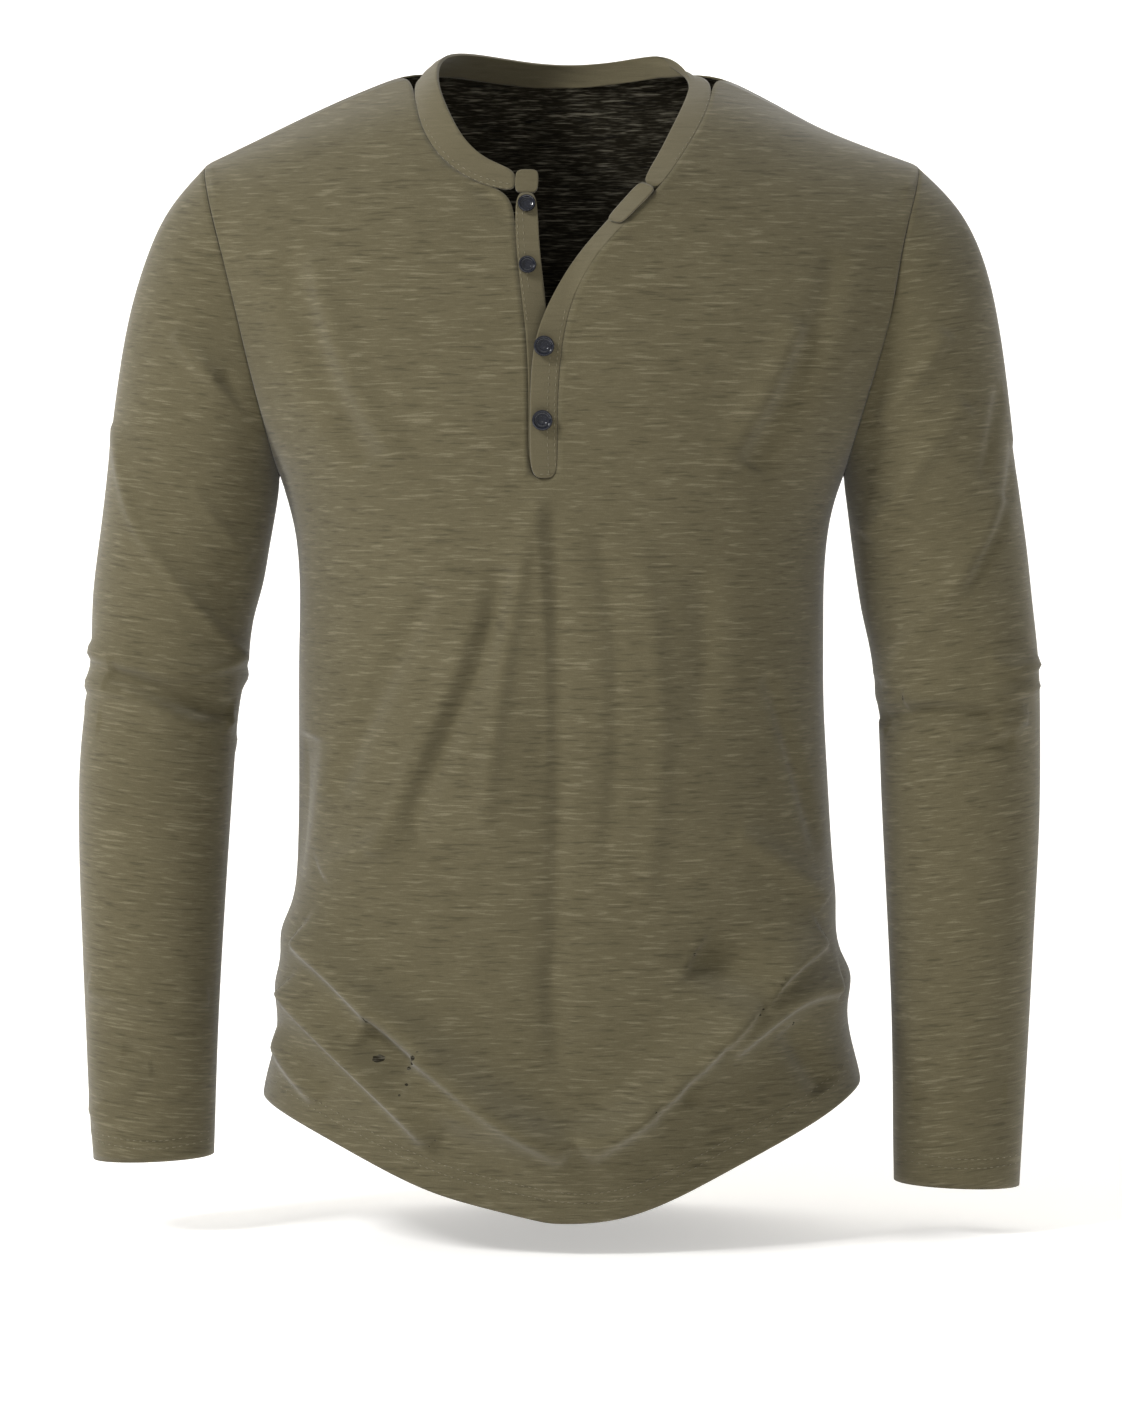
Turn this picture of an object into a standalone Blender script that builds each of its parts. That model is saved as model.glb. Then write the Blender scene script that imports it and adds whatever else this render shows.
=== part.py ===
"""Long-sleeved henley shirt in slub jersey, in the shape it takes when worn, with no wearer.

The origin is midway between the two neck points, where the shoulder seams meet the neck band.
+X is the wearer's left, -Y the front and +Z up. The tables below are in millimetres.
Each cloth piece is a grid of points, walled inwards to its thickness, and neighbours stay a
seam gap apart.
"""

import math
from collections import namedtuple

import bmesh
import bpy
import numpy as np
from mathutils import Vector

MM = 0.001

# Driving dimensions, in millimetres
CLOTH = 1.2  # wall of the jersey panels
BAND_WALL = 2.0  # doubled, stitched cloth of the band
PLACKET_WALL = 1.5
TAB_WALL = 2.4
SEAM_GAP = 0.3
UNDERARM = -257.0
PLACKET_FOOT = UNDERARM  # height of the placket's closed end
SHOULDER_POINT = -59.2
SHOULDER_BEND = -170.0  # the chest rounds over to the shoulder seams above this height
BUTTON_THICKNESS = 3.2

# Grid of the panels
ROWS_BODY = 22  # from hem to underarm
ROWS_YOKE = 11  # from underarm to shoulder
COLUMNS_SIDE = 9  # of the front, from a side to the slot, and of the back, to the neck
COLUMNS_SLOT = 2
COLUMNS_NECK = 6  # of the back, between the neck points
NECK_POINT = 95.0
RINGS_SLEEVE = 18

# Sides of the panels: the side seam below the underarm, the armhole above it. "swell" is how
# far the chest reaches past the armhole's edge.
Level = namedtuple("Level", "z right left swell front back")
LEVELS = [
    Level(-720, 196, 198, 0, 120, 110),
    Level(-651, 192, 195, 0, 119, 109),
    Level(-634, 188, 191, 0, 118, 108),
    Level(-604, 181, 184, 0, 117, 107),
    Level(-588, 188, 183, 0, 116, 106),
    Level(-576, 183, 189, 0, 115, 105),
    Level(-564, 179, 180, 0, 115, 105),
    Level(-548, 182, 175, 0, 114, 104),
    Level(-537, 175, 179, 0, 114, 104),
    Level(-521, 170, 176, 0, 113, 103),
    Level(-450, 168, 171, 0, 112, 101),
    Level(-385, 168, 168, 0, 111, 100),
    Level(-330, 167, 168, 0, 112, 100),
    Level(-296, 169, 170, 0, 114, 102),
    Level(-270, 175, 175, 0, 116, 103),
    Level(UNDERARM, 179, 180, 0, 116, 104),
    Level(-246, 182, 182, 3, 116, 104),
    Level(-218, 188, 189, 14, 115, 104),
    Level(-187, 196, 198, 23, 113, 104),
    Level(-150, 204, 208, 29, 111, 103),
    Level(-112, 214, 214, 38, 108, 101),
    Level(-83, 222, 222, 48, 106, 100),
    Level(SHOULDER_POINT, 227, 228, 56, 104, 100),
    Level(20, 240, 240, 70, 104, 100),
]
SIDE_CURVE = 2.5  # how square the chest is from side to side
BEND_CURVE = 2.2  # how square it is towards the shoulders
BEND_POWER = 0.6

# The shoulder line, by distance from the middle
Shoulder = namedtuple("Shoulder", "x right left")
SHOULDERS = [
    Shoulder(0, 44, 44),
    Shoulder(95, 0.6, 0.6),
    Shoulder(130, -13, -16),
    Shoulder(160, -26.5, -33),
    Shoulder(196, -44, -47.5),
    Shoulder(228, -59.2, -59.2),
    Shoulder(300, -92, -92),
]

# The hem's edge: highest at the side seams, rounded and lowest in the middle
Hem = namedtuple("Hem", "x z")
HEM = [
    Hem(-193, -651),
    Hem(-157, -665),
    Hem(-130, -677),
    Hem(-79, -700),
    Hem(-38, -710),
    Hem(3, -718),
    Hem(23, -718),
    Hem(44, -714),
    Hem(74, -702),
    Hem(105, -686),
    Hem(137, -671),
    Hem(163, -659),
    Hem(194, -642),
]

# The front's inner edge on each side, from the placket's foot up to the neck point. The
# first rows border the placket, the others the band.
Edge = namedtuple("Edge", "x z")
RIGHT_EDGE = [
    Edge(-20.0, PLACKET_FOOT),
    Edge(-19.8, -222),
    Edge(-20.0, -190),
    Edge(-21.8, -162),
    Edge(-24.7, -140),
    Edge(-27.2, -119),
    Edge(-28.8, -100),
    Edge(-28.6, -81),
    Edge(-41, -78.5),
    Edge(-57.3, -73),
    Edge(-74.5, -60),
    Edge(-84.2, -47),
    Edge(-89.5, -33),
    Edge(-92.8, -16),
    Edge(-94.7, 0.6),
]
RIGHT_CORNER = 7  # row of RIGHT_EDGE where the placket ends and the band starts
LEFT_EDGE = [
    Edge(-1.4, PLACKET_FOOT),
    Edge(-2.6, -222),
    Edge(-1.4, -196),
    Edge(0.4, -174),
    Edge(5, -152),
    Edge(11.5, -134),
    Edge(20.5, -120),
    Edge(29, -110),
    Edge(39, -100),
    Edge(49.5, -90),
    Edge(60, -79),
    Edge(74.5, -58),
    Edge(84.5, -42),
    Edge(92, -26),
    Edge(97, -13),
    Edge(96.6, 0.4),
]
LEFT_CORNER = 10
ROWS_RIGHT = 6  # rows of the yoke beside each placket; the others border the band
ROWS_LEFT = 7

# Back neck, by distance from the middle
BackNeck = namedtuple("BackNeck", "x z")
BACK_NECK = [BackNeck(0, -5.5), BackNeck(30, -4.5), BackNeck(55, -1.5), BackNeck(78, 2.5), BackNeck(95, 0.6)]

# Top edge of the band, from its end above the buttons round the back to its other end;
# "lean" is how far it lies behind the seam below it
Top = namedtuple("Top", "x z lean")
BAND_TOP = [
    Top(-28, -66.5, 5),
    Top(-50, -59, 5),
    Top(-63, -44, 4),
    Top(-71, -28, 3),
    Top(-77, -15, 2),
    Top(-80, -4, 1),
    Top(-80.5, 6, 0),
    Top(-78, 13, -1),
    Top(-70, 16.5, -2),
    Top(-50, 14, -3),
    Top(-28, 10.5, -4),
    Top(2, 8.5, -4),
    Top(32, 10, -4),
    Top(58, 13.5, -3),
    Top(75, 16, -2),
    Top(82, 12, -1),
    Top(84.5, 5, 0),
    Top(83.5, -7, 2),
    Top(77, -22.5, 4),
    Top(68, -40.5, 6),
    Top(58.5, -60, 8),
    Top(49.5, -74, 9),
]

# Free edge of the buttonhole placket, from its foot up; "back" is how far it is turned in
Free = namedtuple("Free", "x z back")
FREE_EDGE = [
    Free(-19.0, PLACKET_FOOT, -2.3),
    Free(-19.0, -222, -2.3),
    Free(-18.6, -190, -2.3),
    Free(-17.0, -172, -2.3),
    Free(-9.3, -152, -1.2),
    Free(0.0, -134, 2.5),
    Free(9.6, -119, 8),
    Free(19.2, -108, 12),
    Free(28.6, -98, 12),
    Free(38.0, -87.5, 11),
    Free(49.5, -74, 9),
]
UNDER_WIDTH = 14.4  # of the button placket
UNDER_SINK = 4.6  # how far it lies behind the closed buttonhole placket
TAB_SHARE = 0.84  # where the turned-out tab starts on the buttonhole placket
TAB_LIFT = 0.9  # its clearance over the placket

# Large folds of the body as paths in the front view: a crest is high, a trough is below zero.
# "drop" sharpens the lower side of a hanging swag.
Fold = namedtuple("Fold", "height width drop path")
FRONT_FOLDS = [
    Fold(-4.0, 13, 1.0, [(-7, -300), (-8, -400), (-7, -500), (-5, -620)]),
    Fold(-4.5, 14, 1.0, [(-38, -310), (-56, -375), (-80, -430), (-104, -490)]),
    Fold(-3.5, 14, 1.0, [(-78, -325), (-100, -365), (-122, -410), (-140, -455)]),
    Fold(4.0, 12, 1.0, [(-20, -285), (-33, -345), (-42, -405), (-50, -475)]),
    Fold(4.0, 13, 1.0, [(-64, -345), (-84, -390), (-104, -445), (-122, -490)]),
    Fold(-3.5, 13, 1.0, [(84, -310), (86, -360), (84, -410)]),
    Fold(5.5, 17, 1.0, [(104, -475), (140, -500), (165, -520), (176, -530)]),
    Fold(5.5, 17, 1.0, [(-94, -475), (-125, -498), (-150, -522), (-172, -535)]),
    Fold(12.0, 19, 0.45, [(-176, -548), (-140, -572), (-100, -608), (-40, -655), (5, -678)]),
    Fold(12.0, 19, 0.45, [(182, -552), (145, -560), (105, -600), (60, -655), (20, -678)]),
    Fold(9.0, 15, 0.45, [(-184, -586), (-160, -602), (-120, -640), (-85, -672)]),
    Fold(9.0, 15, 0.45, [(186, -578), (160, -578), (130, -600), (95, -625)]),
    Fold(-7.0, 17, 1.0, [(80, -545), (110, -560), (132, -575)]),
    Fold(7.0, 24, 1.0, [(-100, -640), (-40, -672), (20, -684), (75, -650)]),
    Fold(5.0, 11, 1.0, [(-140, -235), (-158, -205), (-176, -160)]),
    Fold(5.0, 11, 1.0, [(140, -235), (160, -205), (180, -160)]),
]
# The opened neck edge stands away from the chest on the wearer's left
LAPEL_LIFT = 9.0
LAPEL_REACH = 30.0
LAPEL_FOOT = -165.0
LAPEL_PEAK = -95.0
LAPEL_END = -8.0
BACK_FOLDS = [
    Fold(4.0, 15, 1.0, [(-60, -120), (-30, -230), (-20, -330), (-40, -430)]),
    Fold(-4.0, 15, 1.0, [(70, -140), (45, -260), (40, -380), (60, -470)]),
    Fold(5.0, 16, 1.0, [(-172, -535), (-120, -500), (-70, -480)]),
    Fold(5.0, 16, 1.0, [(176, -530), (120, -505), (60, -470)]),
    Fold(11.0, 19, 0.45, [(-176, -548), (-130, -590), (-60, -630), (10, -645)]),
    Fold(11.0, 19, 0.45, [(182, -552), (130, -585), (70, -625), (10, -645)]),
    Fold(9.0, 15, 0.45, [(-184, -586), (-140, -625), (-80, -668)]),
    Fold(9.0, 15, 0.45, [(186, -578), (140, -620), (80, -668)]),
    Fold(-4.0, 14, 1.0, [(-120, -300), (-110, -380), (-125, -450)]),
]

# Sleeves: outer and inner edges in the front view, middle depth and half depth of each section
Section = namedtuple("Section", "outer_x outer_z inner_x inner_z middle half")
RIGHT_SLEEVE = [
    Section(-227, -59, -179, -257, 0, 60),
    Section(-252, -86, -179.5, -265, 0, 60),
    Section(-265.6, -119, -180.5, -274, 0, 60),
    Section(-274.6, -148, -182.4, -285, 0, 59),
    Section(-281, -183, -185.6, -302, -1, 58),
    Section(-286.7, -228, -188.8, -323, -2, 56),
    Section(-291.8, -275, -193.3, -339, -3, 55),
    Section(-297, -314, -197.1, -353, -4, 54),
    Section(-302, -353, -198.4, -368.6, -5, 54),
    Section(-298, -374, -200.3, -379, -5, 50),
    Section(-306, -393, -203.5, -393, -6, 54),
    Section(-303.5, -409, -206, -409, -6, 49),
    Section(-308, -430, -207.4, -430, -7, 52),
    Section(-308.5, -476, -210.6, -476, -9, 49),
    Section(-305.5, -566, -216.3, -566, -14, 43),
    Section(-303.4, -617, -218.9, -617, -16, 39),
    Section(-301.4, -662, -220.2, -660, -18, 36),
    Section(-299.5, -691, -220.8, -688, -19, 33),
]
LEFT_SLEEVE = [
    Section(228, -59, 180, -257, 0, 60),
    Section(254, -83, 180.5, -265, 0, 60),
    Section(268.8, -112, 181.8, -274, 0, 60),
    Section(275.8, -139, 183.4, -287, 0, 59),
    Section(281.6, -172, 185.6, -305, -1, 58),
    Section(287.4, -220, 188.8, -328, -2, 56),
    Section(292.5, -268, 192, -347, -3, 55),
    Section(298.9, -310, 195.8, -362, -4, 54),
    Section(302, -348, 198.4, -375, -5, 54),
    Section(306.6, -385, 201, -393, -5, 54),
    Section(304, -400, 202.9, -406, -6, 49),
    Section(306.6, -414, 202.3, -418, -6, 53),
    Section(306.6, -463, 204.2, -463, -8, 50),
    Section(304, -515, 206.7, -515, -11, 47),
    Section(301.4, -566, 209.3, -566, -14, 43),
    Section(298.6, -619, 211.2, -619, -16, 39),
    Section(295.7, -668, 211.5, -668, -18, 36),
    Section(293.8, -708, 211.8, -705, -19, 33),
]
RIGHT_SLEEVE_FOLDS = [
    Fold(5.0, 10, 1.0, [(-240, -165), (-219, -195), (-198, -215), (-184, -236)]),
    Fold(-4.0, 9, 1.0, [(-212, -192), (-199, -210), (-188, -228)]),
    Fold(3.5, 9, 1.0, [(-283, -225), (-272, -275), (-245, -322), (-205, -365)]),
    Fold(6.0, 9, 0.6, [(-300, -368), (-272, -377), (-240, -379), (-200, -373)]),
    Fold(-6.0, 9, 1.0, [(-286, -384), (-260, -392), (-225, -404), (-205, -412)]),
    Fold(5.0, 8, 0.6, [(-303, -390), (-276, -390), (-250, -402), (-207, -415)]),
    Fold(4.0, 9, 0.6, [(-300, -582), (-270, -590), (-245, -593), (-222, -588)]),
    Fold(3.5, 9, 0.6, [(-298, -664), (-272, -640), (-248, -632)]),
]
LEFT_SLEEVE_FOLDS = [
    Fold(5.0, 11, 1.0, [(240, -166), (222, -196), (200, -222)]),
    Fold(5.0, 11, 1.0, [(256, -212), (229, -241), (208, -276), (191, -293)]),
    Fold(4.5, 11, 1.0, [(279, -268), (262, -302), (234, -342), (201, -386)]),
    Fold(6.0, 9, 0.6, [(268, -375), (285, -379), (303, -375)]),
    Fold(-6.5, 8, 1.0, [(203, -414), (232, -405), (258, -405), (274, -410)]),
    Fold(5.5, 9, 0.6, [(215, -398), (235, -396), (264, -399), (304, -389)]),
    Fold(4.5, 9, 0.6, [(244, -424), (269, -417), (293, -407)]),
    Fold(-3.5, 9, 1.0, [(224, -646), (250, -645), (281, -648)]),
]

# Buttons, from the top down: place in the front view and radius
Button = namedtuple("Button", "x z radius carrier")
BUTTONS = [
    Button(-21.2, -89.2, 5.4, "button_placket"),
    Button(-20.9, -127.1, 5.4, "button_placket"),
    Button(-10.7, -175.5, 6.3, "buttonhole_placket"),
    Button(-12.0, -222.0, 6.3, "buttonhole_placket"),
]
# Turned profile of a button, outer side: share of the radius and of the thickness
Turn = namedtuple("Turn", "radius height")
BUTTON_PROFILE = [
    Turn(0.0, 0.55),
    Turn(0.34, 0.5),
    Turn(0.42, 0.72),
    Turn(0.66, 0.72),
    Turn(0.74, 1.0),
    Turn(0.92, 1.0),
    Turn(1.0, 0.8),
    Turn(0.96, 0.25),
    Turn(0.8, 0.0),
    Turn(0.0, 0.0),
]
BUTTON_STEPS = 24

# Colour, roughness and metallic value of each finish
Finish = namedtuple("Finish", "colour roughness metallic")
JERSEY = Finish((0.122, 0.105, 0.057), 0.95, 0.0)
BAND_CLOTH = Finish((0.135, 0.117, 0.066), 0.95, 0.0)
BUTTON_RESIN = Finish((0.008, 0.009, 0.014), 0.22, 0.0)


def smooth_curve(xs, ys, at):
    """Cubic through the points (xs rising), flat where the points turn, so it never overshoots."""
    xs = np.asarray(xs, float)
    ys = np.asarray(ys, float)
    step = np.diff(xs)
    slope = np.diff(ys) / step
    bend = np.zeros_like(ys)
    same = slope[:-1] * slope[1:] > 0
    total = slope[:-1] + slope[1:]
    bend[1:-1][same] = 2 * (slope[:-1] * slope[1:])[same] / total[same]
    bend[0] = slope[0]
    bend[-1] = slope[-1]
    at = np.clip(np.asarray(at, float), xs[0], xs[-1])
    cell = np.clip(np.searchsorted(xs, at, side="right") - 1, 0, len(step) - 1)
    h = step[cell]
    t = (at - xs[cell]) / h
    start = ys[cell] * (1 + 2 * t) * (1 - t) ** 2 + bend[cell] * h * t * (1 - t) ** 2
    return start + ys[cell + 1] * t * t * (3 - 2 * t) + bend[cell + 1] * h * t * t * (t - 1)


def column(table, name):
    return np.array([getattr(row, name) for row in table], float)


def level(name, z):
    return smooth_curve(column(LEVELS, "z"), column(LEVELS, name), z)


def edge_of(side, z):
    """Distance from the middle to the panel's side; side is -1 on the wearer's right, 1 on the left."""
    return np.where(side < 0, level("right", z), level("left", z))


def shoulder_height(side, x):
    right = smooth_curve(column(SHOULDERS, "x"), column(SHOULDERS, "right"), np.abs(x))
    left = smooth_curve(column(SHOULDERS, "x"), column(SHOULDERS, "left"), np.abs(x))
    return np.where(side < 0, right, left)


def chest_depth(x, z, face):
    """Distance of the chest (face -1) or the back (face 1) from the plane of the seams."""
    side = np.sign(x)
    across = np.clip(np.abs(x) / (edge_of(side, z) + level("swell", z)), 0, 1)
    depth = level("front" if face < 0 else "back", z)
    rise = (z - SHOULDER_BEND) / (shoulder_height(side, x) - SHOULDER_BEND)
    rise = np.clip(rise, 0, 1)
    return depth * np.sqrt(1 - across**SIDE_CURVE) * (1 - rise**BEND_CURVE) ** BEND_POWER


def points_along(path, count=14):
    """Points on a smooth curve through the path's own points."""
    path = np.array(path, float)
    t = np.arange(len(path))
    at = np.linspace(0, len(path) - 1, count)
    return np.stack([smooth_curve(t, path[:, axis], at) for axis in range(path.shape[1])], 1)


def fold_height(fold, x, z):
    """Height of a fold at places in the front view: a bell across its path, faded at its ends."""
    line = points_along(fold.path)
    best = np.full(np.shape(x), np.inf)
    across = np.zeros(np.shape(x))
    along = np.zeros(np.shape(x))
    for i, (a, b) in enumerate(zip(line[:-1], line[1:])):
        way = b - a
        length = np.hypot(*way)
        share = np.clip(((x - a[0]) * way[0] + (z - a[1]) * way[1]) / length**2, 0, 1)
        gap_x = x - a[0] - share * way[0]
        gap_z = z - a[1] - share * way[1]
        distance = np.hypot(gap_x, gap_z)
        nearer = distance < best
        best = np.where(nearer, distance, best)
        across = np.where(nearer, gap_z, across)
        along = np.where(nearer, (i + share) / (len(line) - 1), along)
    width = np.where(across < 0, fold.width * fold.drop, fold.width)
    fade = np.clip(4 * along * (1 - along), 0, 1) ** 0.35
    return fold.height * fade * np.exp(-((best / width) ** 2))


def lapel_height(x, z):
    """The opened neck edge's lift off the chest, highest near the tab."""
    line = np.array(LEFT_EDGE, float)
    edge = smooth_curve(line[:, 1], line[:, 0], z)
    rise = np.interp(z, [LAPEL_FOOT, LAPEL_PEAK, LAPEL_END], [0, 1, 0])
    beyond = np.clip((x - edge) / LAPEL_REACH, 0, 3)
    return LAPEL_LIFT * rise * rise * (3 - 2 * rise) * np.exp(-(beyond**2)) * (x > edge - 40)


def seam_guard(x, z):
    """Falls to nothing at the side seams, shoulder seams and armholes, so that both sides agree."""
    side = np.sign(x)
    gap = np.minimum(edge_of(side, z) - np.abs(x), shoulder_height(side, x) - z)
    return np.clip(gap / 22, 0, 1) ** 0.8


def body_place(x, z, face):
    """Points of the front (face -1) or back (face 1) over places in the front view."""
    x = np.asarray(x, float)
    z = np.asarray(z, float)
    folds = FRONT_FOLDS if face < 0 else BACK_FOLDS
    lift = sum(fold_height(fold, x, z) for fold in folds) * seam_guard(x, z)
    if face < 0:
        lift = lift + lapel_height(x, z)
    return np.stack([x, face * (chest_depth(x, z, face) + lift), z], -1)


def spread(points, count, bunch=1.0):
    """Evenly spaced places along a chain of points; bunch under 1 packs them to its end."""
    points = np.array(points, float)
    run = np.concatenate([[0], np.cumsum(np.hypot(*np.diff(points, axis=0).T))])
    share = np.linspace(0, 1, count + 1) ** bunch
    return np.stack([smooth_curve(run, points[:, axis], share * run[-1]) for axis in (0, 1)], 1)


def inner_edge(table, corner, side_count):
    """Inner edge of one half of the front's yoke, with a point exactly on its corner."""
    lower = spread([(row.x, row.z) for row in table[: corner + 1]], side_count)
    upper = spread([(row.x, row.z) for row in table[corner:]], ROWS_YOKE - side_count)
    return np.concatenate([lower, upper[1:]])


def armhole_heights():
    """Heights of the rows at the armhole, closer together at both ends."""
    share = (1 - np.cos(np.linspace(0, math.pi, ROWS_YOKE + 1))) / 2
    return UNDERARM + share * (SHOULDER_POINT - UNDERARM)


def armhole(side):
    z = armhole_heights()
    return np.stack([side * edge_of(side, z), z], 1)


def hem_height(x):
    return smooth_curve(column(HEM, "x"), column(HEM, "z"), x)


def body_rows(across):
    """Front-view places from the hem up to the underarm. across gives, for a height, the columns' x."""
    rows = []
    for share in np.linspace(0, 1, ROWS_BODY + 1):
        x = across(UNDERARM - 200 * (1 - share))
        for _ in range(4):  # the hem's height and the side's width depend on each other
            z = hem_height(x) + share * (UNDERARM - hem_height(x))
            x = across(z)
        rows.append(np.stack([x, z], 1))
    return rows


def from_side(count):
    """Shares from a side inwards, closest together at the side, where the cloth turns."""
    return 1 - np.cos(np.linspace(0, math.pi / 2, count + 1))


def columns_between(right_out, right_in, left_in, left_out, middle_count):
    """A row's places from the wearer's right side to the left, with middle_count columns
    between the two inner places."""
    share = from_side(COLUMNS_SIDE)[:, None]
    right = right_out + share * (right_in - right_out)
    left = (left_out + share * (left_in - left_out))[::-1]
    middle = right_in + np.linspace(0, 1, middle_count + 1)[1:-1, None] * (left_in - right_in)
    return np.concatenate([right, middle, left])


def body_rows(right_in, left_in, middle_count):
    """Front-view places from the hem up to the underarm."""
    rows = []
    for share in np.linspace(0, 1, ROWS_BODY + 1):
        line = None
        z = UNDERARM + (share - 1) * 400
        for _ in range(5):  # the hem's height and the side's width depend on each other
            corners = [-edge_of(-1, z), right_in, left_in, edge_of(1, z)]
            if line is not None:
                corners[0] = -edge_of(-1, line[0, 1])
                corners[3] = edge_of(1, line[-1, 1])
            line = columns_between(*[np.array([corner, 0.0]) for corner in corners], middle_count)
            line[:, 1] = hem_height(line[:, 0]) * (1 - share) + UNDERARM * share
        rows.append(line)
    return rows


def front_grid():
    """Front-view places of the front. In the yoke's rows the slot's middle columns are unused."""
    rows = body_rows(RIGHT_EDGE[0].x, LEFT_EDGE[0].x, COLUMNS_SLOT)
    right_in = inner_edge(RIGHT_EDGE, RIGHT_CORNER, ROWS_RIGHT)
    left_in = inner_edge(LEFT_EDGE, LEFT_CORNER, ROWS_LEFT)
    right_out = armhole(-1)
    left_out = armhole(1)
    for i in range(1, ROWS_YOKE + 1):
        line = columns_between(right_out[i], right_in[i], left_in[i], left_out[i], COLUMNS_SLOT)
        if i == ROWS_YOKE:
            line[:, 1] = shoulder_height(np.sign(line[:, 0]), line[:, 0])
        rows.append(line)
    return np.array(rows)


def back_grid(shoulder_right, shoulder_left):
    """Front-view places of the back. Its top row takes the front's own shoulder seams."""
    rows = body_rows(-NECK_POINT, NECK_POINT, COLUMNS_NECK)
    neck_x = np.linspace(shoulder_right[-1, 0], shoulder_left[0, 0], COLUMNS_NECK + 1)[1:-1]
    neck_z = smooth_curve(column(BACK_NECK, "x"), column(BACK_NECK, "z"), np.abs(neck_x))
    top = np.concatenate([shoulder_right, np.stack([neck_x, neck_z], 1), shoulder_left])
    heights = armhole_heights()
    right_out = armhole(-1)
    left_out = armhole(1)
    for i in range(1, ROWS_YOKE + 1):
        share = (heights[i] - UNDERARM) / (SHOULDER_POINT - UNDERARM)
        line = rows[ROWS_BODY] + share * (top - rows[ROWS_BODY])
        line[0] = right_out[i]
        line[-1] = left_out[i]
        rows.append(line)
    return np.array(rows)


def grid_normals(points, closed=False):
    """Outward directions of a grid of points, from its own rows and columns."""
    if closed:
        right = np.roll(points, -1, 1) - np.roll(points, 1, 1)
    else:
        right = np.gradient(points, axis=1)
    up = np.gradient(points, axis=0)
    normal = np.cross(right, up)
    size = np.linalg.norm(normal, axis=-1, keepdims=True)
    return normal / np.maximum(size, 1e-9)


def sleeve_sections(table, count):
    """Sections evenly spaced along the sleeve's outer edge."""
    outer = np.stack([column(table, "outer_x"), column(table, "outer_z")], 1)
    run = np.concatenate([[0], np.cumsum(np.hypot(*np.diff(outer, axis=0).T))])
    at = np.linspace(0, run[-1], count + 1)
    return {name: smooth_curve(run, column(table, name), at) for name in Section._fields}


def sleeve_grid(table, folds, side, loop):
    """Rings from the armhole loop to the cuff. loop runs from the shoulder point down the
    front to the underarm and up the back."""
    at = sleeve_sections(table, RINGS_SLEEVE)
    count = len(loop)
    angle = np.linspace(0, 2 * math.pi, count, endpoint=False)
    rings = [loop]
    for j in range(1, RINGS_SLEEVE + 1):
        outer = np.array([at["outer_x"][j], at["outer_z"][j]])
        inner = np.array([at["inner_x"][j], at["inner_z"][j]])
        share = (1 - np.cos(angle)) / 2
        flat = outer + share[:, None] * (inner - outer)
        depth = at["middle"][j] - at["half"][j] * np.sign(np.sin(angle)) * np.abs(np.sin(angle)) ** 0.9
        ring = np.stack([flat[:, 0], depth, flat[:, 1]], 1)
        held = max(0.0, 1 - j / 3)  # the first rings keep some of the armhole's own depth
        ring[:, 1] = held * loop[:, 1] + (1 - held) * ring[:, 1]
        rings.append(ring)
    grid = np.array(rings)
    normals = grid_normals(grid, closed=True) * side
    lift = sum(fold_height(fold, grid[..., 0], grid[..., 2]) for fold in folds)
    fade = np.clip(np.arange(RINGS_SLEEVE + 1) / 2, 0, 1)[:, None]
    edge_fade = np.abs(np.sin(angle))[None, :] ** 0.5
    grid = grid + normals * (lift * fade * edge_fade)[..., None]
    return grid


def band_grid(seam):
    """Three rows of the band: the neck seam, its middle and its top edge, spread to match the seam."""
    flat = np.array([(row.x, row.z) for row in BAND_TOP], float)
    run = np.concatenate([[0], np.cumsum(np.hypot(*np.diff(flat, axis=0).T))])
    seam_run = np.concatenate([[0], np.cumsum(np.hypot(*np.diff(seam[:, [0, 2]], axis=0).T))])
    at = seam_run / seam_run[-1] * run[-1]
    x = smooth_curve(run, flat[:, 0], at)
    z = smooth_curve(run, flat[:, 1], at)
    y = seam[:, 1] + smooth_curve(run, column(BAND_TOP, "lean"), at)
    edge = np.stack([x, y, z], 1)
    return np.array([seam, (seam + edge) / 2, edge])


def across_between(start, end, sag=0.0):
    """Three columns from one edge of a strip to its other edge."""
    middle = (start + end) / 2
    middle[:, 1] += sag
    return np.stack([start, middle, end], 1)


def button_strip(seam):
    """The button placket: from its seam to its free edge, sunk where the other one covers it."""
    closed = np.clip((-112 - seam[:, 2]) / 35, 0, 1)
    free = seam + np.stack([np.full(len(seam), UNDER_WIDTH), 0.6 + UNDER_SINK * closed, 0 * closed], 1)
    return across_between(seam, free)


def buttonhole_strip(seam, top):
    """The buttonhole placket: its free edge follows its own table and ends at the band's top."""
    path = spread([(row.x, row.z) for row in FREE_EDGE], len(seam) - 1)
    chest = body_place(path[:, 0], path[:, 1], -1)
    turned = smooth_curve(column(FREE_EDGE, "z"), column(FREE_EDGE, "back"), path[:, 1])
    lifted = seam[:, 1] - body_place(seam[:, 0], seam[:, 2], -1)[:, 1]
    free = np.stack([path[:, 0], chest[:, 1] + turned + lifted, path[:, 1]], 1)
    free[-1] = top
    return across_between(free, seam)


def cell_corners(points, closed):
    """The four corner points of every cell of a grid, in order."""
    right = np.roll(points, -1, 1) if closed else points[:, 1:]
    left = points if closed else points[:, :-1]
    return left[:-1], right[:-1], right[1:], left[1:]


def cell_indices(shape, closed):
    rows, columns = shape[:2]
    index = np.arange(rows * columns).reshape(rows, columns)
    return cell_corners(index, closed)


def used_cells(piece):
    shape = piece["points"].shape
    corners = [part.reshape(-1) for part in cell_indices(shape, piece["closed"])]
    if piece["unused"] is None:
        return np.array(corners)
    keep = np.array([not piece["unused"](i // shape[1], i % shape[1]) for i in corners[0]])
    return np.array(corners)[:, keep]


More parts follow.
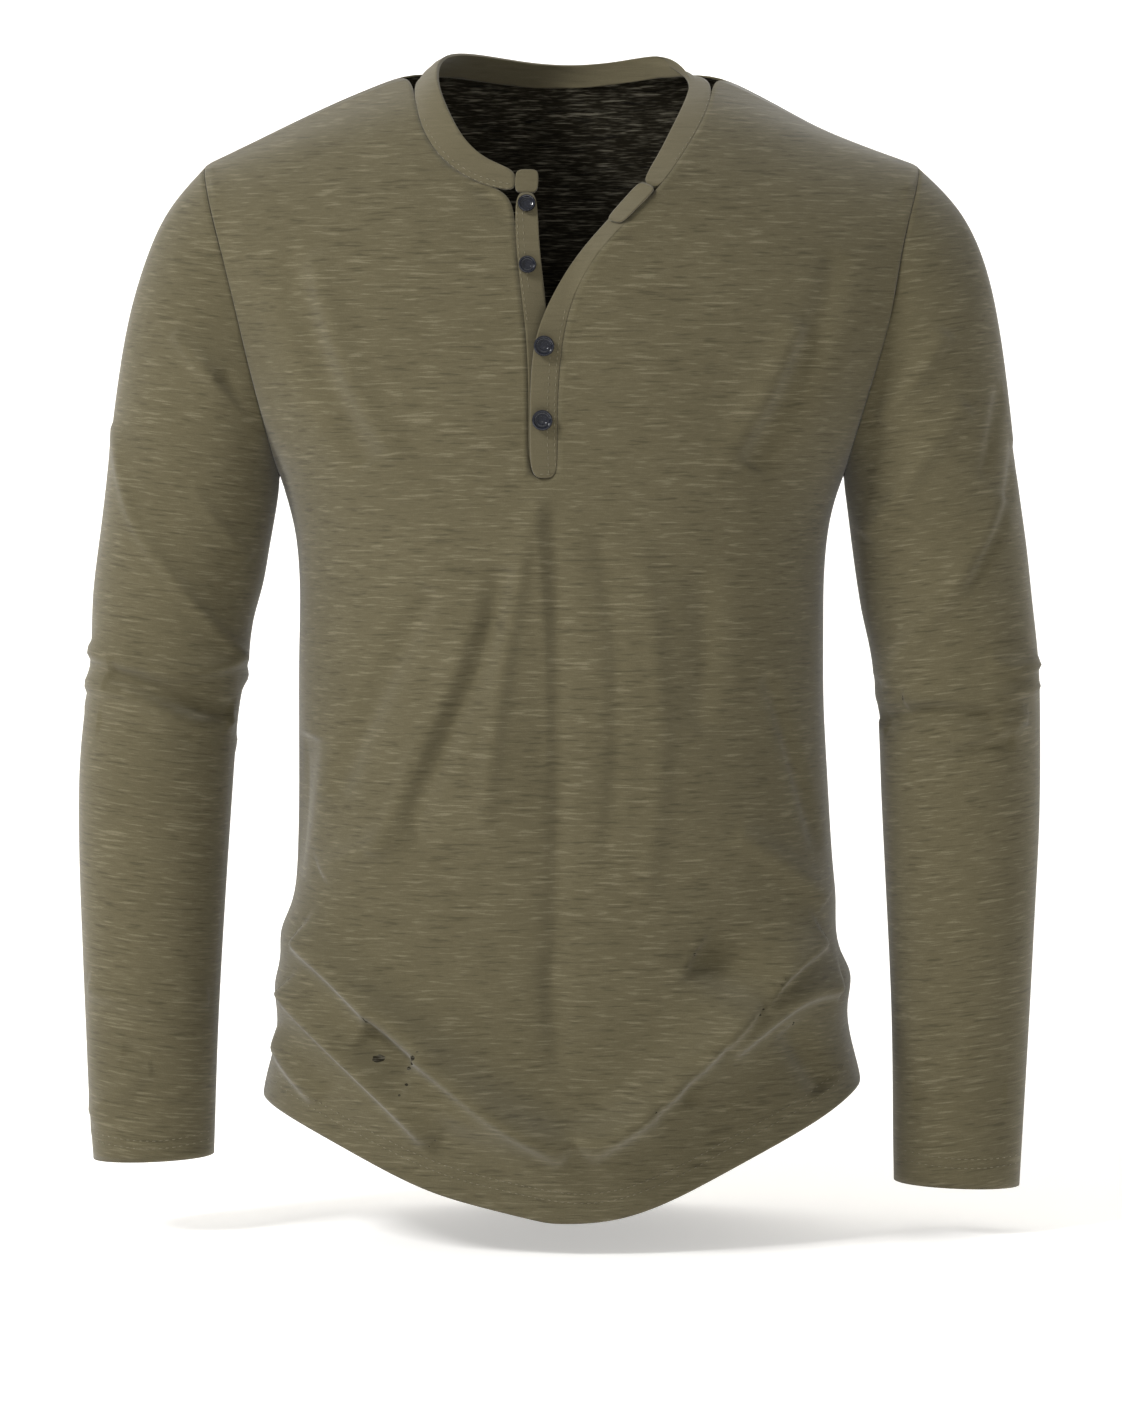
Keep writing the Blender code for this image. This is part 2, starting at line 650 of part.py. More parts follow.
def own_normals(piece):
    """Outward directions at a piece's points, from its own cells alone."""
    points = piece["points"].reshape(-1, 3)
    a, b, c, d = used_cells(piece)
    faces = np.cross(points[c] - points[a], points[d] - points[b]) * piece["facing"]
    total = np.zeros_like(points)
    for corner in (a, b, c, d):
        np.add.at(total, corner, faces)
    return total


def unit(vectors):
    return vectors / np.maximum(np.linalg.norm(vectors, axis=-1, keepdims=True), 1e-9)


def inward_at_edges(piece):
    """Direction from each edge point into the piece, and nothing at the points inside it."""
    points = piece["points"].reshape(-1, 3)
    a, b, c, d = used_cells(piece)
    pull = np.zeros_like(points)
    count = np.zeros(len(points))
    for corner, near, far in ((a, b, d), (b, c, a), (c, d, b), (d, a, c)):
        np.add.at(pull, corner, unit(points[near] - points[corner]) + unit(points[far] - points[corner]))
        np.add.at(count, corner, 1)
    edge = (count > 0) & (count < 4)
    return unit(pull) * edge[:, None]


def wall_pieces(pieces):
    """Gives every piece its outer and inner points. Points that two pieces share get one
    direction for the wall, and each piece then draws back from the seam."""
    shared = {}
    for piece in pieces.values():
        piece["normals"] = own_normals(piece)
        for point, normal in zip(piece["points"].reshape(-1, 3), piece["normals"]):
            key = tuple(np.round(point, 3) + 0.0)
            shared[key] = shared.get(key, 0) + unit(normal)
    for piece in pieces.values():
        points = piece["points"].reshape(-1, 3)
        mean = unit(np.array([shared[tuple(np.round(point, 3) + 0.0)] for point in points]))
        inward = inward_at_edges(piece)
        at_edge = np.linalg.norm(inward, axis=1, keepdims=True) > 0
        draw_back = (inward - unit(piece["normals"]) * at_edge) * SEAM_GAP
        outer = points + draw_back
        inner = outer - mean * piece["wall"]
        piece["outer"] = outer.reshape(piece["points"].shape)
        piece["inner"] = inner.reshape(piece["points"].shape)


def make_material(name, finish):
    material = bpy.data.materials.new(name)
    material.use_nodes = True
    shader = material.node_tree.nodes["Principled BSDF"]
    shader.inputs["Base Color"].default_value = (*finish.colour, 1)
    shader.inputs["Roughness"].default_value = finish.roughness
    shader.inputs["Metallic"].default_value = finish.metallic
    return material


def add_object(name, mesh, finish, collection):
    mesh.shade_smooth()
    mesh.set_sharp_from_angle(angle=math.radians(50))
    mesh.materials.append(make_material(name, finish))
    thing = bpy.data.objects.new(name, mesh)
    collection.objects.link(thing)
    return thing


def make_wall(name, piece, collection):
    """A closed wall between a piece's outer and inner points."""
    outer = piece["outer"]
    inner = piece["inner"]
    if piece["closed"]:
        outer = np.concatenate([outer, outer[:, :1]], 1)
        inner = np.concatenate([inner, inner[:, :1]], 1)
    rows, columns = outer.shape[:2]
    bm = bmesh.new()
    cell = bm.verts.layers.int.new("cell")
    bmesh.ops.create_grid(bm, x_segments=columns - 1, y_segments=rows - 1, size=1)
    for vert in bm.verts:
        i = round((vert.co.x + 1) / 2 * (columns - 1))
        j = round((vert.co.y + 1) / 2 * (rows - 1))
        vert[cell] = j * columns + i
    if piece["unused"] is not None:
        lowest = [(face, min(vert[cell] for vert in face.verts)) for face in bm.faces]
        spare = [face for face, low in lowest if piece["unused"](low // columns, low % columns)]
        bmesh.ops.delete(bm, geom=spare, context="FACES")
    flat_outer = outer.reshape(-1, 3) * MM
    flat_inner = inner.reshape(-1, 3) * MM
    for vert in bm.verts:
        vert.co = flat_outer[vert[cell]]
    if piece["closed"]:
        bmesh.ops.remove_doubles(bm, verts=bm.verts, dist=1e-6)
    shell = bmesh.ops.extrude_face_region(bm, geom=bm.faces[:], use_keep_orig=True)
    for item in shell["geom"]:
        if isinstance(item, bmesh.types.BMVert):
            item.co = flat_inner[item[cell]]
    bmesh.ops.recalc_face_normals(bm, faces=bm.faces)
    if bm.calc_volume(signed=True) < 0:
        bmesh.ops.reverse_faces(bm, faces=bm.faces)
    bmesh.ops.triangulate(bm, faces=bm.faces)
    mesh = bpy.data.meshes.new(name)
    bm.to_mesh(mesh)
    bm.free()
    return add_object(name, mesh, piece["finish"], collection)


def cloth_piece(points, facing, wall=CLOTH, finish=JERSEY, closed=False, unused=None):
    """facing is 1 where the grid's rows and columns turn outwards, and -1 where they turn in."""
    return {
        "points": points,
        "facing": facing,
        "wall": wall,
        "finish": finish,
        "closed": closed,
        "unused": unused,
    }


def lay_out_cloth():
    """The points of every cloth piece, by its name. Neighbours share their points at a seam."""
    slot_right = COLUMNS_SIDE
    slot_left = COLUMNS_SIDE + COLUMNS_SLOT
    places = front_grid()
    front = body_place(places[..., 0], places[..., 1], -1)
    places = back_grid(places[-1, : slot_right + 1], places[-1, slot_left:])
    back = body_place(places[..., 0], places[..., 1], 1)
    for seam in (front[: ROWS_BODY + 1, [0, -1]], front[-1, : slot_right + 1], front[-1, slot_left:]):
        seam[..., 1] = 0
    back[: ROWS_BODY + 1, [0, -1]] = front[: ROWS_BODY + 1, [0, -1]]
    back[-1, : slot_right + 1] = front[-1, : slot_right + 1]
    back[-1, -COLUMNS_SIDE - 1 :] = front[-1, slot_left:]

    def in_slot(row, column_index):
        return row >= ROWS_BODY and slot_right <= column_index < slot_left

    pieces = {
        "front": cloth_piece(front, 1, unused=in_slot),
        "back": cloth_piece(back, -1),
    }
    for name, side, table, folds in (
        ("sleeve_right", -1, RIGHT_SLEEVE, RIGHT_SLEEVE_FOLDS),
        ("sleeve_left", 1, LEFT_SLEEVE, LEFT_SLEEVE_FOLDS),
    ):
        edge = 0 if side < 0 else -1
        loop = np.concatenate([front[ROWS_BODY:, edge][::-1], back[ROWS_BODY + 1 : -1, edge]])
        pieces[name] = cloth_piece(sleeve_grid(table, folds, side, loop), side, closed=True)

    neck_right = front[ROWS_BODY + ROWS_RIGHT :, slot_right]
    neck_left = front[ROWS_BODY + ROWS_LEFT :, slot_left]
    back_neck = back[-1, COLUMNS_SIDE + 1 : COLUMNS_SIDE + COLUMNS_NECK]
    seam = np.concatenate([neck_right, back_neck, neck_left[::-1]])
    band = band_grid(seam)
    pieces["neck_band"] = cloth_piece(band, -1, BAND_WALL, BAND_CLOTH)

    under = button_strip(front[ROWS_BODY : ROWS_BODY + ROWS_RIGHT + 1, slot_right])
    pieces["button_placket"] = cloth_piece(under, 1, PLACKET_WALL, BAND_CLOTH)
    over = buttonhole_strip(front[ROWS_BODY : ROWS_BODY + ROWS_LEFT + 1, slot_left], band[2, -1])
    over[-1, 1] = band[1, -1]
    pieces["buttonhole_placket"] = cloth_piece(over, 1, PLACKET_WALL, BAND_CLOTH)

    tab = band[:, :1] + (under[-1] - under[-1, 0])[None]
    pieces["neck_tab_right"] = cloth_piece(tab, 1, TAB_WALL, BAND_CLOTH)
    return pieces


def grid_point(points, row_share, column_share):
    """A point of a grid by its shares of the rows and of the columns."""
    row = row_share * (points.shape[0] - 1)
    across = column_share * (points.shape[1] - 1)
    i = min(int(row), points.shape[0] - 2)
    j = min(int(across), points.shape[1] - 2)
    u = row - i
    v = across - j
    low = points[i, j] * (1 - v) + points[i, j + 1] * v
    high = points[i + 1, j] * (1 - v) + points[i + 1, j + 1] * v
    return low * (1 - u) + high * u


def turned_out_tab(over):
    """The band's end piece on the buttonhole side, made from the placket's points, moved out."""
    shares = [(u, v) for u in np.linspace(TAB_SHARE, 0.995, 4) for v in (0.04, 0.5, 0.96)]
    outer = np.array([grid_point(over["outer"], u, v) for u, v in shares]).reshape(4, 3, 3)
    inner = np.array([grid_point(over["inner"], u, v) for u, v in shares]).reshape(4, 3, 3)
    outward = unit(outer - inner)
    tab = cloth_piece(outer, 1, finish=BAND_CLOTH)
    tab["outer"] = outer + outward * (TAB_LIFT + CLOTH)
    tab["inner"] = outer + outward * TAB_LIFT
    return tab


def nearest_surface(piece, x, z):
    """The outer surface's place and direction at a point of the front view."""
    best = None
    for u in np.linspace(0, 1, 121):
        for v in np.linspace(0, 1, 31):
            point = grid_point(piece["outer"], u, v)
            gap = math.hypot(point[0] - x, point[2] - z)
            if best is None or gap < best[0]:
                best = (gap, u, v)
    point = grid_point(piece["outer"], best[1], best[2])
    return point, unit(point - grid_point(piece["inner"], best[1], best[2]))


def make_button(number, button, carrier, collection):
    """A turned button on its placket, with its back a seam gap clear of the cloth."""
    place, outward = nearest_surface(carrier, button.x, button.z)
    name = f"button_{number}"
    mesh = bpy.data.meshes.new(name)
    profile = [(turn.radius * button.radius, 0, turn.height * BUTTON_THICKNESS) for turn in BUTTON_PROFILE]
    bm = bmesh.new()
    points = [bm.verts.new([value * MM for value in point]) for point in profile]
    for first, second in zip(points[:-1], points[1:]):
        bm.edges.new((first, second))
    bm.to_mesh(mesh)
    bm.free()
    thing = add_object(name, mesh, BUTTON_RESIN, collection)
    thing.location = (place + outward * SEAM_GAP * 2) * MM
    thing.rotation_mode = "QUATERNION"
    thing.rotation_quaternion = Vector(outward).to_track_quat("Z", "Y")
    screw = thing.modifiers.new("turn", "SCREW")
    screw.steps = BUTTON_STEPS
    screw.render_steps = BUTTON_STEPS
    screw.use_merge_vertices = True
    screw.merge_threshold = 1e-5
    screw.use_smooth_shade = True
    return thing


def main():
    for thing in list(bpy.data.objects):
        bpy.data.objects.remove(thing, do_unlink=True)
    collection = bpy.data.collections.new("henley shirt")
    bpy.context.scene.collection.children.link(collection)
    pieces = lay_out_cloth()
    wall_pieces(pieces)
    pieces["neck_tab_left"] = turned_out_tab(pieces["buttonhole_placket"])
    for name, piece in pieces.items():
        make_wall(name, piece, collection)
    for number, button in enumerate(BUTTONS, 1):
        make_button(number, button, pieces[button.carrier], collection)


main()
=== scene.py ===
# Henley shirt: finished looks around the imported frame. Metres, +Z up, -Y the front.
import math

import bmesh
import bpy
import numpy as np
from mathutils import Matrix, Vector
from mathutils.bvhtree import BVHTree


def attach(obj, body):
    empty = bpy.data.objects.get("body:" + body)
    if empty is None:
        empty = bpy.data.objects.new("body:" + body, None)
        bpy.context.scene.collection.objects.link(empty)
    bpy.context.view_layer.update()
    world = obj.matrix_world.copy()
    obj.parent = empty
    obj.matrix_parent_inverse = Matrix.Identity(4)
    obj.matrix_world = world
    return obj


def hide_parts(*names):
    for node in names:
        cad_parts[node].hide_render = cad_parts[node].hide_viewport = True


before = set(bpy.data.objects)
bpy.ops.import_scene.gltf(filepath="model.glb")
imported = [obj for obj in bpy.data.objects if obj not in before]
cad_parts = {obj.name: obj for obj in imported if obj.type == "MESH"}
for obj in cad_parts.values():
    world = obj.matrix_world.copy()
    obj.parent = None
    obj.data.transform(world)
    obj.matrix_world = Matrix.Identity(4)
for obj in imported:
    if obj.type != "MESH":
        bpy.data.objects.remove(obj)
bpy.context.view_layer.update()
print("frame loaded")

mm = 0.001

# creases as paths in the front view, in millimetres: a negative height is a trough,
# and "sharp" narrows the lower side
chestCreases = [
    {"height": 2.2, "width": 7, "sharp": 0.8, "path": [(-16, -268), (-9, -330), (-7, -430), (-8, -560)]},
    {"height": -3.2, "width": 8, "sharp": 1.0,
     "path": [(-7, -275), (-4, -340), (-4, -440), (-6, -560), (0, -625)]},
    {"height": -3.6, "width": 9, "sharp": 1.0,
     "path": [(-36, -312), (-50, -372), (-74, -420), (-98, -488)]},
    {"height": 2.6, "width": 8, "sharp": 0.8,
     "path": [(-48, -330), (-68, -385), (-92, -440), (-116, -492)]},
    {"height": -2.8, "width": 8, "sharp": 1.0,
     "path": [(-80, -326), (-102, -366), (-124, -412), (-142, -458)]},
    {"height": 2.4, "width": 7, "sharp": 0.8, "path": [(-20, -284), (-31, -345), (-40, -405), (-48, -478)]},
    {"height": -2.2, "width": 9, "sharp": 1.0, "path": [(86, -314), (90, -360), (86, -412)]},
    {"height": -2.0, "width": 5, "sharp": 1.0,
     "path": [(128, -380), (139, -410), (150, -448), (162, -492)]},
    {"height": -1.8, "width": 6, "sharp": 1.0, "path": [(22, -290), (34, -350), (36, -420), (28, -500)]},
    {"height": 1.8, "width": 8, "sharp": 0.9, "path": [(48, -300), (60, -370), (62, -450), (50, -520)]},
    {"height": -1.6, "width": 5, "sharp": 1.0, "path": [(-56, -74), (-44, -84), (-31, -101)]},
    {"height": -3.0, "width": 9, "sharp": 1.0,
     "path": [(-120, -250), (-140, -215), (-158, -170), (-170, -120)]},
    {"height": 2.4, "width": 8, "sharp": 0.9,
     "path": [(-100, -246), (-124, -205), (-142, -160), (-152, -116)]},
    {"height": -2.8, "width": 9, "sharp": 1.0,
     "path": [(118, -250), (140, -215), (160, -165), (172, -118)]},
    {"height": 2.4, "width": 8, "sharp": 0.9, "path": [(100, -250), (126, -205), (146, -160)]},
    {"height": 3.0, "width": 9, "sharp": 0.7, "path": [(-150, -505), (-120, -488), (-92, -478)]},
    {"height": 3.0, "width": 9, "sharp": 0.7, "path": [(108, -478), (138, -498), (168, -524)]},
    {"height": -3.4, "width": 9, "sharp": 1.0, "path": [(-176, -512), (-168, -470), (-160, -420)]},
]
# hanging swags across the hips, each with a steep dark underside
hipSwags = [
    {"height": 9.0, "width": 15, "sharp": 0.34,
     "path": [(-168, -548), (-140, -566), (-108, -598), (-72, -626), (-38, -652), (4, -678)]},
    {"height": 8.5, "width": 15, "sharp": 0.34,
     "path": [(166, -548), (138, -562), (108, -594), (76, -628), (48, -652), (14, -676)]},
    {"height": 7.5, "width": 12, "sharp": 0.34,
     "path": [(-178, -582), (-150, -604), (-120, -630), (-96, -652), (-82, -668)]},
    {"height": 7.0, "width": 12, "sharp": 0.36,
     "path": [(176, -580), (150, -580), (126, -596), (104, -614)]},
    {"height": -6.0, "width": 11, "sharp": 1.0, "path": [(-122, -600), (-104, -608), (-92, -618)]},
    {"height": -6.5, "width": 14, "sharp": 1.0, "path": [(84, -552), (108, -566), (128, -576)]},
    {"height": 5.0, "width": 12, "sharp": 0.8, "path": [(-96, -634), (-50, -656), (10, -668), (60, -650)]},
    {"height": -4.0, "width": 9, "sharp": 1.0, "path": [(142, -600), (156, -624), (166, -640)]},
    {"height": -2.4, "width": 6, "sharp": 1.0, "path": [(80, -616), (78, -644)]},
    {"height": 4.0, "width": 10, "sharp": 0.5, "path": [(-186, -612), (-172, -628), (-152, -646)]},
]
backCreases = [
    {"height": 3.0, "width": 10, "sharp": 0.8,
     "path": [(-66, -130), (-40, -240), (-28, -340), (-50, -440)]},
    {"height": -3.0, "width": 10, "sharp": 1.0, "path": [(40, -150), (28, -260), (20, -380), (36, -470)]},
    {"height": 3.0, "width": 10, "sharp": 0.8, "path": [(96, -190), (76, -290), (80, -390)]},
    {"height": -3.0, "width": 9, "sharp": 1.0, "path": [(-120, -250), (-140, -210), (-160, -150)]},
    {"height": -3.0, "width": 9, "sharp": 1.0, "path": [(120, -255), (142, -212), (162, -155)]},
    {"height": 8.5, "width": 15, "sharp": 0.36,
     "path": [(-168, -548), (-120, -584), (-60, -618), (10, -636)]},
    {"height": 8.5, "width": 15, "sharp": 0.36, "path": [(168, -550), (126, -580), (70, -612), (16, -636)]},
    {"height": 7.0, "width": 12, "sharp": 0.36, "path": [(-178, -582), (-130, -622), (-70, -656)]},
    {"height": 7.0, "width": 12, "sharp": 0.36, "path": [(178, -580), (130, -618), (70, -652)]},
]
rightSleeveCreases = [
    {"height": 3.4, "width": 6, "sharp": 0.8,
     "path": [(-242, -166), (-220, -194), (-199, -216), (-184, -238)]},
    {"height": -3.4, "width": 6, "sharp": 1.0, "path": [(-214, -192), (-202, -210), (-188, -230)]},
    {"height": 2.6, "width": 5, "sharp": 0.8,
     "path": [(-284, -222), (-276, -264), (-262, -298), (-222, -348), (-200, -372)]},
    {"height": 1.6, "width": 5, "sharp": 0.8, "path": [(-232, -262), (-217, -286), (-197, -308)]},
    {"height": 5.0, "width": 7, "sharp": 0.5,
     "path": [(-300, -366), (-286, -372), (-250, -380), (-220, -379), (-199, -371)]},
    {"height": -6.0, "width": 7, "sharp": 1.0, "path": [(-284, -380), (-246, -394), (-210, -408)]},
    {"height": 5.0, "width": 6, "sharp": 0.5,
     "path": [(-304, -388), (-276, -390), (-254, -402), (-231, -413), (-207, -413)]},
    {"height": -3.0, "width": 4, "sharp": 1.0, "path": [(-292, -410), (-263, -418), (-230, -420)]},
    {"height": 3.4, "width": 7, "sharp": 0.5,
     "path": [(-300, -580), (-272, -588), (-247, -592), (-223, -586)]},
    {"height": -2.6, "width": 6, "sharp": 1.0, "path": [(-276, -618), (-260, -624)]},
    {"height": 3.2, "width": 7, "sharp": 0.6, "path": [(-298, -664), (-272, -640), (-258, -628)]},
]
leftSleeveCreases = [
    {"height": 3.4, "width": 7, "sharp": 0.8, "path": [(241, -166), (222, -196), (200, -222)]},
    {"height": 3.4, "width": 7, "sharp": 0.8, "path": [(256, -212), (229, -241), (209, -276), (191, -294)]},
    {"height": 3.2, "width": 7, "sharp": 0.8,
     "path": [(279, -268), (262, -302), (234, -342), (217, -367), (202, -386)]},
    {"height": -2.0, "width": 4, "sharp": 1.0, "path": [(277, -200), (272, -226), (265, -257)]},
    {"height": -2.0, "width": 4, "sharp": 1.0,
     "path": [(287, -234), (284, -262), (275, -290), (255, -330)]},
    {"height": 4.4, "width": 6, "sharp": 0.5, "path": [(268, -374), (285, -379), (303, -375)]},
    {"height": 4.4, "width": 6, "sharp": 0.5,
     "path": [(216, -398), (235, -396), (264, -399), (279, -395), (304, -388)]},
    {"height": -6.0, "width": 6, "sharp": 1.0,
     "path": [(203, -413), (210, -408), (232, -404), (258, -404), (274, -410)]},
    {"height": 4.4, "width": 6, "sharp": 0.5, "path": [(244, -424), (269, -417), (285, -413), (294, -407)]},
    {"height": -3.4, "width": 5, "sharp": 1.0,
     "path": [(221, -440), (242, -434), (264, -428), (285, -422)]},
    {"height": -3.0, "width": 6, "sharp": 1.0, "path": [(224, -646), (250, -644), (281, -647)]},
    {"height": -2.6, "width": 5, "sharp": 1.0, "path": [(229, -624), (255, -620)]},
]

creaseForm = {
    "steps": 16,  # stretches along a crease's path
    "endFade": 0.4,  # the lower, the blunter a crease's two ends
    "bodyStrength": 1.45,
}
sleeveBack = {"turn": 0.03, "drop": 14, "share": 0.8}  # creases behind a sleeve: lower down and fainter
# where the body's creases have to fade, and over how many millimetres
armhole = {"heights": [-257, -59], "across": [180, 227], "bodyFade": 14, "sleeveFade": 12}
shoulder = {"from": 95, "slope": 0.45, "fade": 20}
placket = {"middle": -11, "half": 10, "fade": 8, "foot": -258}
sideSeam = {"top": -262, "fade": 24}
rim = {"width": 2.7 * mm, "push": 0.22 * mm}  # the cloth's cut edge, and how far it grows into the seam gap
bodyFlatness = 2.4  # the higher, the more the front's outward direction turns towards -Y
backFlatness = 2.8


def smoothPath(points, count):
    # a path rounded by repeated corner cutting, then thinned towards count points
    line = np.array(points, float)
    for _ in range(3):
        a = line[:-1] * 0.75 + line[1:] * 0.25
        b = line[:-1] * 0.25 + line[1:] * 0.75
        middle = np.stack([a, b], 1).reshape(-1, 2)
        line = np.concatenate([line[:1], middle, line[-1:]])
    return line[:: max(1, len(line) // count)]


def creaseHeight(crease, x, z):
    # height at places in the front view, in millimetres: a bell across the path, faded at both ends
    line = smoothPath(crease["path"], creaseForm["steps"])
    nearest = np.full(x.shape, 1e9)
    across = np.zeros(x.shape)
    along = np.zeros(x.shape)
    for i in range(len(line) - 1):
        a = line[i]
        way = line[i + 1] - a
        share = np.clip(((x - a[0]) * way[0] + (z - a[1]) * way[1]) / max(way @ way, 1e-9), 0, 1)
        offX = x - a[0] - share * way[0]
        offZ = z - a[1] - share * way[1]
        distance = np.hypot(offX, offZ)
        closer = distance < nearest
        nearest = np.where(closer, distance, nearest)
        across = np.where(closer, offZ, across)
        along = np.where(closer, (i + share) / (len(line) - 1), along)
    width = crease["width"] * np.where(across < 0, crease["sharp"], 1.0)
    fade = np.clip(4 * along * (1 - along), 0, 1) ** creaseForm["endFade"]
    return crease["height"] * fade * np.exp(-((nearest / width) ** 2))


def markRims(bm):
    # finds the narrow faces round a cloth's edge, keeps them crisp and closes the seam gap a little
    bm.normal_update()
    rims = {face for face in bm.faces if min(edge.calc_length() for edge in face.edges) < rim["width"]}
    crease = bm.edges.layers.float.get("crease_edge") or bm.edges.layers.float.new("crease_edge")
    push = {}
    for face in rims:
        for edge in face.edges:
            if any(other not in rims for other in edge.link_faces):
                edge[crease] = 1.0
        for vert in face.verts:
            push[vert] = push.get(vert, Vector()) + face.normal
    for vert, way in push.items():
        if way.length > 1e-6:
            vert.co += way.normalized() * rim["push"]
    return rims


def markLayers(bm, rims, centreOf, flatness):
    # material 1 for the layer that faces the wearer, whose material carries painted shade
    left = set(bm.faces) - rims
    while left:
        patch = [left.pop()]
        for face in patch:
            for edge in face.edges:
                for other in edge.link_faces:
                    if other in left:
                        left.remove(other)
                        patch.append(other)
        centres = np.array([face.calc_center_median()[:] for face in patch])
        normals = np.array([face.normal[:] for face in patch])
        away = outwardOf(centres, centreOf(centres), flatness)
        inner = np.sum(away * normals) < 0
        for face in patch:
            face.material_index = int(inner)


def refinedCopy(nodeName, pieceName, levels, centreOf, flatness):
    # a smooth fine mesh on the solid's own form
    bm = bmesh.new()
    bm.from_mesh(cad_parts[nodeName].data)
    bmesh.ops.remove_doubles(bm, verts=bm.verts, dist=1e-5)
    bmesh.ops.join_triangles(
        bm, faces=bm.faces, angle_face_threshold=math.radians(60), angle_shape_threshold=math.radians(80)
    )
    rims = markRims(bm)
    markLayers(bm, rims, centreOf, flatness)
    mesh = bpy.data.meshes.new(pieceName)
    bm.to_mesh(mesh)
    bm.free()
    piece = bpy.data.objects.new(pieceName, mesh)
    bpy.context.scene.collection.objects.link(piece)
    rounding = piece.modifiers.new("round", "SUBSURF")
    rounding.levels = levels
    rounding.render_levels = levels
    graph = bpy.context.evaluated_depsgraph_get()
    fine = bpy.data.meshes.new_from_object(piece.evaluated_get(graph))
    piece.modifiers.clear()
    piece.data = fine
    fine.shade_smooth()
    return piece


def readPoints(mesh):
    points = np.empty(len(mesh.vertices) * 3)
    mesh.vertices.foreach_get("co", points)
    return points.reshape(-1, 3)


def outwardOf(points, centre, flatness):
    # level direction away from a centre line
    away = np.zeros_like(points)
    away[:, 0] = points[:, 0] - centre[:, 0]
    away[:, 1] = (points[:, 1] - centre[:, 1]) * flatness
    return away / np.maximum(np.linalg.norm(away, axis=1, keepdims=True), 1e-9)


def bodyCentre(points):
    return np.zeros_like(points)


def sleeveCentre(points):
    # the sleeve's middle at each height, on the side that the points are on
    side = np.sign(points[:, 0].mean())
    heights = np.array([-0.72, -0.56, -0.40, -0.30, -0.20, -0.05])
    across = side * np.array([0.258, 0.259, 0.254, 0.244, 0.228, 0.212])
    back = np.array([-0.019, -0.014, -0.006, -0.003, 0.0, 0.0])
    z = points[:, 2]
    return np.stack([np.interp(z, heights, across), np.interp(z, heights, back), z], 1)


def pressCreases(piece, creases, allRound, centreOf, flatness, guard):
    # moves both layers of the cloth by its creases, and all round a sleeve
    mesh = piece.data
    points = readPoints(mesh)
    centre = centreOf(points)
    x = points[:, 0] / mm
    z = points[:, 2] / mm
    height = sum(creaseHeight(crease, x, z) for crease in creases)
    if allRound:
        front = np.clip(0.5 - (points[:, 1] - centre[:, 1]) / sleeveBack["turn"], 0, 1)
        behind = sum(creaseHeight(crease, x, z + sleeveBack["drop"]) for crease in creases[::2])
        height = height * front + sleeveBack["share"] * (1 - front) * behind
    height = height * guard(points)
    points = points + outwardOf(points, centre, flatness) * height[:, None] * mm
    mesh.vertices.foreach_set("co", points.ravel())
    mesh.update()


def bodyGuard(points):
    # creases fade at the armholes, the shoulder seams, the side seams and the placket
    x = points[:, 0] / mm
    y = points[:, 1]
    z = points[:, 2] / mm
    aboveSeam = z > sideSeam["top"]
    armholeAt = np.interp(z, armhole["heights"], armhole["across"])
    atArmhole = np.where(aboveSeam, np.clip((armholeAt - np.abs(x)) / armhole["bodyFade"], 0, 1), 1)
    shoulderAt = -(np.abs(x) - shoulder["from"]) * shoulder["slope"]
    atShoulder = np.clip((shoulderAt - z) / shoulder["fade"], 0, 1)
    atSeam = np.where(aboveSeam, 1, np.clip(np.abs(y) / (sideSeam["fade"] * mm), 0, 1))
    besidePlacket = np.clip((np.abs(x - placket["middle"]) - placket["half"]) / placket["fade"], 0, 1)
    atPlacket = np.where((y < 0) & (z > placket["foot"]), besidePlacket, 1)
    return creaseForm["bodyStrength"] * atArmhole * atShoulder * atSeam * atPlacket


def sleeveGuard(points):
    # creases fade at the armhole seam
    x = np.abs(points[:, 0]) / mm
    z = points[:, 2] / mm
    armholeAt = np.interp(z, armhole["heights"], armhole["across"])
    return np.where(z > sideSeam["top"], np.clip((x - armholeAt) / armhole["sleeveFade"], 0, 1), 1)


def newGroup(name, inputs, outputs):
    group = bpy.data.node_groups.new(name, "ShaderNodeTree")
    for label, kind, value in inputs:
        socket = group.interface.new_socket(name=label, in_out="INPUT", socket_type=kind)
        socket.default_value = value
    for label, kind in outputs:
        group.interface.new_socket(name=label, in_out="OUTPUT", socket_type=kind)
    return group, group.nodes.new("NodeGroupInput"), group.nodes.new("NodeGroupOutput")


def giveSocket(tree, socket, value):
    # a socket takes a plain value or another node's output
    if isinstance(value, (int, float, tuple)):
        socket.default_value = value
    else:
        tree.links.new(value, socket)


def mathNode(tree, kind, first, second):
    node = tree.nodes.new("ShaderNodeMath")
    node.operation = kind
    giveSocket(tree, node.inputs[0], first)
    giveSocket(tree, node.inputs[1], second)
    return node.outputs[0]


def mixNode(tree, factor, first, second):
    node = tree.nodes.new("ShaderNodeMix")
    node.data_type = "RGBA"
    giveSocket(tree, node.inputs["Factor"], factor)
    giveSocket(tree, node.inputs[6], first)
    giveSocket(tree, node.inputs[7], second)
    return node.outputs[2]


def stretchedNoise(tree, vector, scale, stretch, detail):
    mapping = tree.nodes.new("ShaderNodeMapping")
    mapping.inputs["Scale"].default_value = stretch
    tree.links.new(vector, mapping.inputs["Vector"])
    noise = tree.nodes.new("ShaderNodeTexNoise")
    noise.inputs["Scale"].default_value = scale
    noise.inputs["Detail"].default_value = detail
    tree.links.new(mapping.outputs[0], noise.inputs["Vector"])
    return noise.outputs["Fac"]


def rampNode(tree, value, low, high):
    node = tree.nodes.new("ShaderNodeMapRange")
    node.interpolation_type = "SMOOTHSTEP"
    node.inputs["From Min"].default_value = low
    node.inputs["From Max"].default_value = high
    tree.links.new(value, node.inputs["Value"])
    return node.outputs[0]


